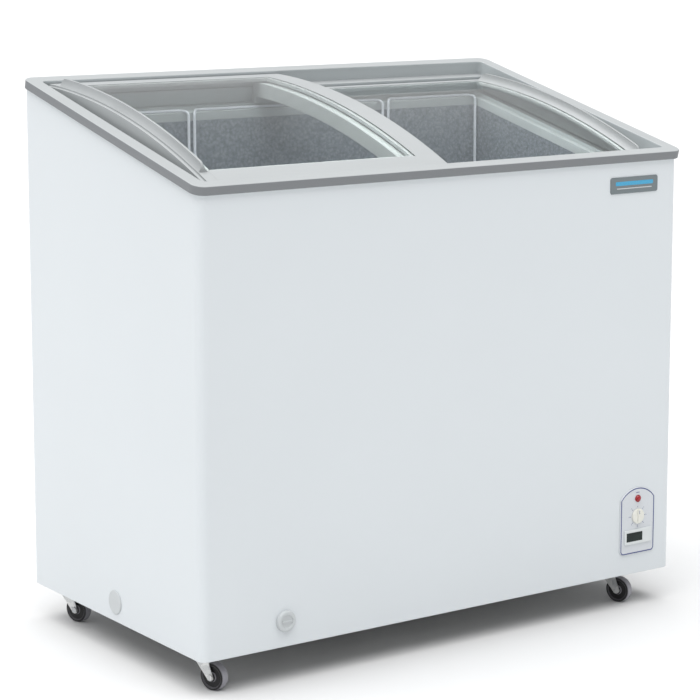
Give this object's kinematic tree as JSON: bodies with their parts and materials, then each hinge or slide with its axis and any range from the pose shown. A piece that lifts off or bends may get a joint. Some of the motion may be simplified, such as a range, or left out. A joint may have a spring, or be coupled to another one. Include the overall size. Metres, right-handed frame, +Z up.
{
  "type": "chest freezer",
  "caption": "Commercial chest freezer with a sloped top, curved sliding glass lids in stepped tracks, hanging wire baskets, a thermostat panel and swivel casters.",
  "frame": {"origin": "on the floor, under the middle of the overall bounding box", "axes": "+X to the right seen from the front, +Y to the back, +Z up; the front faces -Y"},
  "size_m": [1, 0.5731, 0.948],
  "materials": {
    "white_paint": "gloss white powder coat",
    "galvanised": "zinc plated steel",
    "liner_aluminium": "stucco embossed aluminium",
    "foam": "rigid polyurethane foam",
    "grey_plastic": "light grey moulded ABS",
    "white_plastic": "white moulded plastic",
    "lid_glass": "curved toughened glass",
    "seal_rubber": "soft grey seal",
    "basket_wire": "plastic coated steel wire",
    "copper": "drawn copper",
    "black_steel": "black enamel",
    "black_plastic": "black moulded plastic",
    "panel_plastic": "pale panel with a dark blue border",
    "red_lens": "translucent red",
    "cream_plastic": "cream moulded plastic",
    "display_lens": "dark display window",
    "badge_plastic": "dark grey name plate with no lettering",
    "caster_rubber": "black wheel with a grey tread"
  },
  "bodies": {
    "cabinet": {"badge_plate": "badge_plastic", "base_pan": "galvanised", "caster_bolts": "galvanised", "caster_plate_back_left": "galvanised", "caster_plate_back_right": "galvanised", "caster_plate_front_left": "galvanised", "caster_plate_front_right": "galvanised", "compressor": "black_steel", "compressor_feet": "black_steel", "compressor_grommets": "seal_rubber", "condenser": "black_steel", "control_plate": "panel_plastic", "cord_gland": "black_plastic", "discharge_pipe": "copper", "drain_tube": "white_plastic", "evaporator_coil": "copper", "fan_motor": "black_plastic", "filter_dryer": "copper", "foam_insulation": "foam", "indicator_lamp": "red_lens", "inner_liner": "liner_aluminium", "lid_bumpers": "seal_rubber", "machine_housing": "galvanised", "outer_wrap": "white_paint", "rear_grille": "white_paint", "rear_panel": "white_paint", "rear_screws": "galvanised", "side_plug": "white_plastic", "suction_pipe": "copper", "terminal_cover": "black_plastic", "thermometer": "white_plastic", "thermometer_lens": "display_lens", "thermostat": "white_plastic", "throat_collar": "grey_plastic", "top_frame": "grey_plastic"},
    "left_lid": {"left_lid_frame": "grey_plastic", "left_lid_glass": "lid_glass", "left_lid_handle": "grey_plastic", "left_lid_glides": "white_plastic", "centre_seal": "seal_rubber"},
    "right_lid": {"right_lid_frame": "grey_plastic", "right_lid_glass": "lid_glass", "right_lid_handle": "grey_plastic", "right_lid_glides": "white_plastic"},
    "left_basket": {"left_basket": "basket_wire"},
    "middle_basket": {"middle_basket": "basket_wire"},
    "right_basket": {"right_basket": "basket_wire"},
    "drain_cap": {"drain_cap": "white_plastic"},
    "thermostat_dial": {"thermostat_dial": "cream_plastic", "thermostat_spindle": "galvanised"},
    "condenser_fan": {"fan_blade": "black_plastic"},
    "caster_swivel_front_left": {"caster_fork_front_left": "galvanised"},
    "caster_wheel_front_left": {"caster_wheel_front_left": "caster_rubber"},
    "caster_swivel_front_right": {"caster_fork_front_right": "galvanised"},
    "caster_wheel_front_right": {"caster_wheel_front_right": "caster_rubber"},
    "caster_swivel_back_left": {"caster_fork_back_left": "galvanised"},
    "caster_wheel_back_left": {"caster_wheel_back_left": "caster_rubber"},
    "caster_swivel_back_right": {"caster_fork_back_right": "galvanised"},
    "caster_wheel_back_right": {"caster_wheel_back_right": "caster_rubber"}
  },
  "joints": [
    {"name": "left_lid_slide", "type": "slide", "parent": "cabinet", "child": "left_lid", "axis": [1, 0, 0], "range_m": [0, 0.393]},
    {"name": "right_lid_slide", "type": "slide", "parent": "cabinet", "child": "right_lid", "axis": [1, 0, 0], "range_m": [-0.388, 0]},
    {"name": "left_basket_slide", "type": "slide", "parent": "cabinet", "child": "left_basket", "axis": [1, 0, 0], "range_m": [0, 0.003]},
    {"name": "middle_basket_slide", "type": "slide", "parent": "cabinet", "child": "middle_basket", "axis": [1, 0, 0], "range_m": [-0.003, 0.004]},
    {"name": "right_basket_slide", "type": "slide", "parent": "cabinet", "child": "right_basket", "axis": [1, 0, 0], "range_m": [-0.003, 0]},
    {"name": "drain_cap_pull", "type": "slide", "parent": "cabinet", "child": "drain_cap", "axis": [0, -1, 0], "range_m": [0, 0.03]},
    {"name": "thermostat_turn", "type": "hinge", "parent": "cabinet", "child": "thermostat_dial", "pos_m": [0.4125, -0.28, 0.165], "axis": [0, -1, 0], "range_deg": [-200, 70]},
    {"name": "fan_spin", "type": "hinge", "parent": "cabinet", "child": "condenser_fan", "pos_m": [0.345, 0.175, 0.165], "axis": [0, 1, 0], "continuous": true},
    {"name": "caster_swivel_front_left", "type": "hinge", "parent": "cabinet", "child": "caster_swivel_front_left", "pos_m": [-0.455, -0.225, 0], "axis": [0, 0, 1], "continuous": true},
    {"name": "caster_spin_front_left", "type": "hinge", "parent": "caster_swivel_front_left", "child": "caster_wheel_front_left", "pos_m": [-0.44834, -0.24172, 0.0225], "axis": [0.9291, 0.3697, 0], "continuous": true},
    {"name": "caster_swivel_front_right", "type": "hinge", "parent": "cabinet", "child": "caster_swivel_front_right", "pos_m": [0.4, -0.225, 0], "axis": [0, 0, 1], "continuous": true},
    {"name": "caster_spin_front_right", "type": "hinge", "parent": "caster_swivel_front_right", "child": "caster_wheel_front_right", "pos_m": [0.40665, -0.24172, 0.0225], "axis": [0.9291, 0.3697, 0], "continuous": true},
    {"name": "caster_swivel_back_left", "type": "hinge", "parent": "cabinet", "child": "caster_swivel_back_left", "pos_m": [-0.455, 0.225, 0], "axis": [0, 0, 1], "continuous": true},
    {"name": "caster_spin_back_left", "type": "hinge", "parent": "caster_swivel_back_left", "child": "caster_wheel_back_left", "pos_m": [-0.44834, 0.20828, 0.0225], "axis": [0.9291, 0.3697, 0], "continuous": true},
    {"name": "caster_swivel_back_right", "type": "hinge", "parent": "cabinet", "child": "caster_swivel_back_right", "pos_m": [0.4, 0.225, 0], "axis": [0, 0, 1], "continuous": true},
    {"name": "caster_spin_back_right", "type": "hinge", "parent": "caster_swivel_back_right", "child": "caster_wheel_back_right", "pos_m": [0.40665, 0.20828, 0.0225], "axis": [0.9291, 0.3697, 0], "continuous": true}
  ]
}
